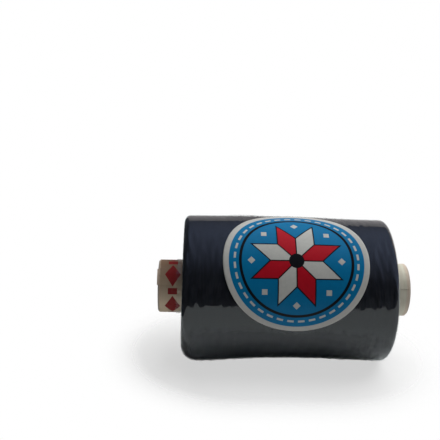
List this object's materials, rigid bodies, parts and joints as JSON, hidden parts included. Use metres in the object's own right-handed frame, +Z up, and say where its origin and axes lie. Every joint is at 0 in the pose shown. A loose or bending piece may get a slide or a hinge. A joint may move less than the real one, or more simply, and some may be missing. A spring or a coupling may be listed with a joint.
{
  "type": "thread spool",
  "caption": "Spool of sewing thread on a paper tube, with a round paper label stuck on its clear shrink film, lying on its side.",
  "frame": {"origin": "on the floor under the middle of the tube's length, with the spool lying on its side", "axes": "+X along the spool's axis, +Z up; the label faces -Y and up"},
  "size_m": [0.1043, 0.0602, 0.0597],
  "materials": {
    "liner_paper": "uncoated grey-brown liner paper",
    "tube_board": "wound greyboard, cut and rounded at the rims",
    "cover_paper": "smooth cream paper with red print",
    "thread": "near-black navy spun polyester thread",
    "film": "clear shrink film with fine wrinkles",
    "label_paper": "coated paper, printed blue and red on cream"
  },
  "bodies": {
    "root": {"tube_liner": "liner_paper", "tube_board": "tube_board", "tube_cover": "cover_paper", "thread_base": "thread", "thread_outer_layer": "thread", "shrink_film": "film", "label": "label_paper"}
  },
  "joints": []
}
